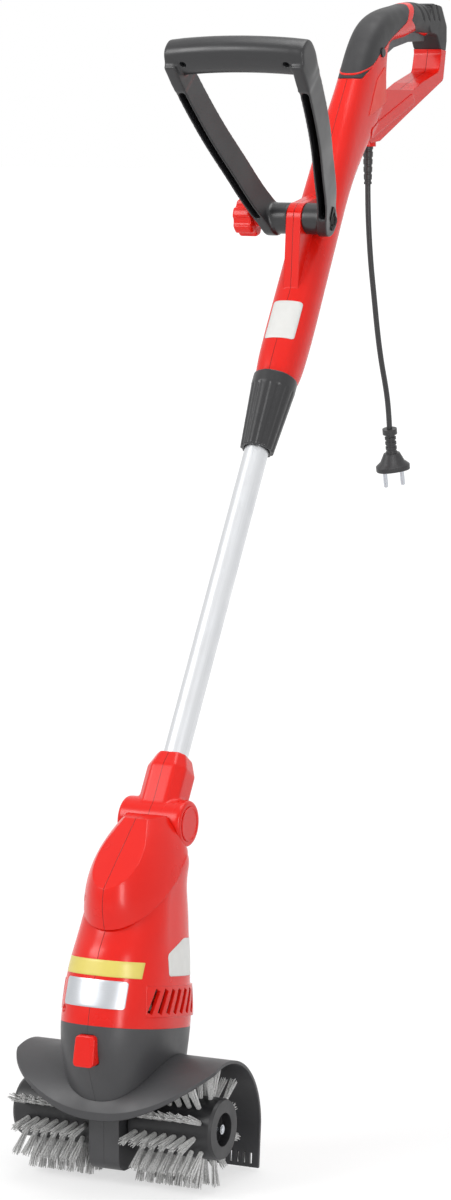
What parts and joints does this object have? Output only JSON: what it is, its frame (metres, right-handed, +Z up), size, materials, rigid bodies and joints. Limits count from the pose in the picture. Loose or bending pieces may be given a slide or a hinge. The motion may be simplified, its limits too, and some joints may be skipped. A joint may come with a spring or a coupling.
{
  "type": "electric patio cleaner",
  "caption": "Corded electric patio cleaner: motor head over rotating brush rollers, tilting telescopic tube, long handle with trigger and adjustable front loop handle.",
  "frame": {"origin": "middle of the base of the bounding box of the tool without its mains lead and plug", "axes": "+X to the user's left, +Y back towards the user, +Z up; the tool is pushed towards -Y"},
  "size_m": [0.216, 0.8324, 1.1373],
  "materials": {
    "red_plastic": "glossy moulded plastic",
    "dark_plastic": "fine satin grain",
    "soft_grip": "soft matte",
    "grey_plastic": "satin",
    "aluminium": "drawn, satin",
    "steel": "bright",
    "plated_steel": "zinc plated",
    "iron_core": "laminated",
    "copper": "copper, enamelled where wound",
    "carbon": "pressed carbon",
    "nylon_gear": "natural nylon",
    "black_plastic": "satin",
    "black_rubber": "smooth",
    "bristle": "translucent grey filament"
  },
  "bodies": {
    "handle": {"handle_housing_left": "red_plastic", "handle_housing_right": "red_plastic", "grip_cover_front": "soft_grip", "grip_cover_rear": "soft_grip", "handle_screws": "plated_steel", "trigger_pin": "steel", "trigger_spring": "steel", "power_switch": "black_plastic", "lock_off_spring": "steel", "clamp_collet": "nylon_gear", "cord_gland": "black_rubber", "power_cord": "black_rubber", "plug_body": "black_rubber", "plug_pins": "plated_steel"},
    "loop_handle": {"loop_arms": "dark_plastic", "loop_grip_front": "dark_plastic", "loop_grip_rear": "dark_plastic", "loop_screws": "plated_steel", "handle_bolt": "plated_steel"},
    "star_knob": {"star_knob": "red_plastic"},
    "lock_sleeve": {"lock_sleeve": "dark_plastic"},
    "trigger": {"trigger": "grey_plastic"},
    "lock_off_button": {"lock_off_button": "black_plastic"},
    "tube": {"tube": "aluminium", "tube_socket_left": "red_plastic", "tube_socket_right": "red_plastic", "tube_screw": "plated_steel", "pivot_pin": "steel", "pivot_caps": "red_plastic"},
    "head": {"motor_housing_left": "red_plastic", "motor_housing_right": "red_plastic", "gearbox_housing_left": "dark_plastic", "gearbox_housing_right": "dark_plastic", "splash_guard": "dark_plastic", "latch_spring": "steel", "motor_stator": "iron_core", "field_windings": "copper", "gear_train_bearings": "steel", "carbon_brushes": "carbon", "brush_shaft_bearings": "steel", "shaft_seals": "black_rubber", "strip_brush_holder": "dark_plastic", "strip_bristles": "bristle", "strip_screws": "plated_steel", "housing_screws": "plated_steel"},
    "latch_button": {"latch_button": "red_plastic"},
    "motor_rotor": {"armature_shaft": "steel", "armature_core": "iron_core", "commutator": "copper", "cooling_fan": "nylon_gear", "motor_pinion": "steel"},
    "drive_train": {"drive_shaft": "steel", "drive_gear": "steel"},
    "rollers": {"brush_shaft": "steel", "crown_gear": "nylon_gear", "roller_core_left": "black_plastic", "roller_core_right": "black_plastic", "bristle_tufts_left": "bristle", "bristle_tufts_right": "bristle", "roller_screws": "plated_steel"}
  },
  "joints": [
    {"name": "loop_handle_tilt", "type": "hinge", "parent": "handle", "child": "loop_handle", "pos_m": [0, 0.06923, 0.9138], "axis": [1, 0, 0], "range_deg": [-35, 45]},
    {"name": "star_knob_turn", "type": "hinge", "parent": "loop_handle", "child": "star_knob", "pos_m": [-0.055, 0.06923, 0.9138], "axis": [1, 0, 0], "range_deg": [-180, 180]},
    {"name": "trigger_pull", "type": "hinge", "parent": "handle", "child": "trigger", "pos_m": [0, 0.37025, 1.10439], "axis": [1, 0, 0], "range_deg": [-4.5, 0], "stiffness_Nm_per_rad": 0.8, "springref_deg": 11.46, "deforming": ["trigger_spring"]},
    {"name": "lock_off_press", "type": "slide", "parent": "handle", "child": "lock_off_button", "axis": [-1, 0, 0], "range_m": [0, 0.003], "stiffness_N_per_m": 300, "springref_m": -0.003, "deforming": ["lock_off_spring"]},
    {"name": "lock_sleeve_twist", "type": "hinge", "parent": "handle", "child": "lock_sleeve", "pos_m": [0, -0.01182, 0.71672], "axis": [0, 0.5432, 0.8396], "range_deg": [0, 90]},
    {"name": "tube_slide", "type": "slide", "parent": "handle", "child": "tube", "axis": [0, 0.5432, 0.8396], "range_m": [0, 0.12]},
    {"name": "head_tilt", "type": "hinge", "parent": "tube", "child": "head", "pos_m": [0, -0.25625, 0.33889], "axis": [1, 0, 0], "range_deg": [-15, 30]},
    {"name": "latch_press", "type": "slide", "parent": "head", "child": "latch_button", "axis": [0, 1, 0], "range_m": [0, 0.005], "stiffness_N_per_m": 400, "springref_m": -0.004, "deforming": ["latch_spring"]},
    {"name": "roller_spin", "type": "hinge", "parent": "head", "child": "rollers", "pos_m": [0, -0.32975, 0.05989], "axis": [1, 0, 0], "continuous": true},
    {"name": "drive_spin", "type": "hinge", "parent": "head", "child": "drive_train", "pos_m": [0, -0.32975, 0.05989], "axis": [0, 0.1822, 0.9833], "continuous": true},
    {"name": "motor_spin", "type": "hinge", "parent": "head", "child": "motor_rotor", "pos_m": [0, -0.3563, 0.06481], "axis": [0, 0.1822, 0.9833], "continuous": true}
  ],
  "couplings": [
    {"joint": "drive_spin", "follows": "roller_spin", "ratio": 3},
    {"joint": "motor_spin", "follows": "roller_spin", "ratio": -13.2}
  ]
}
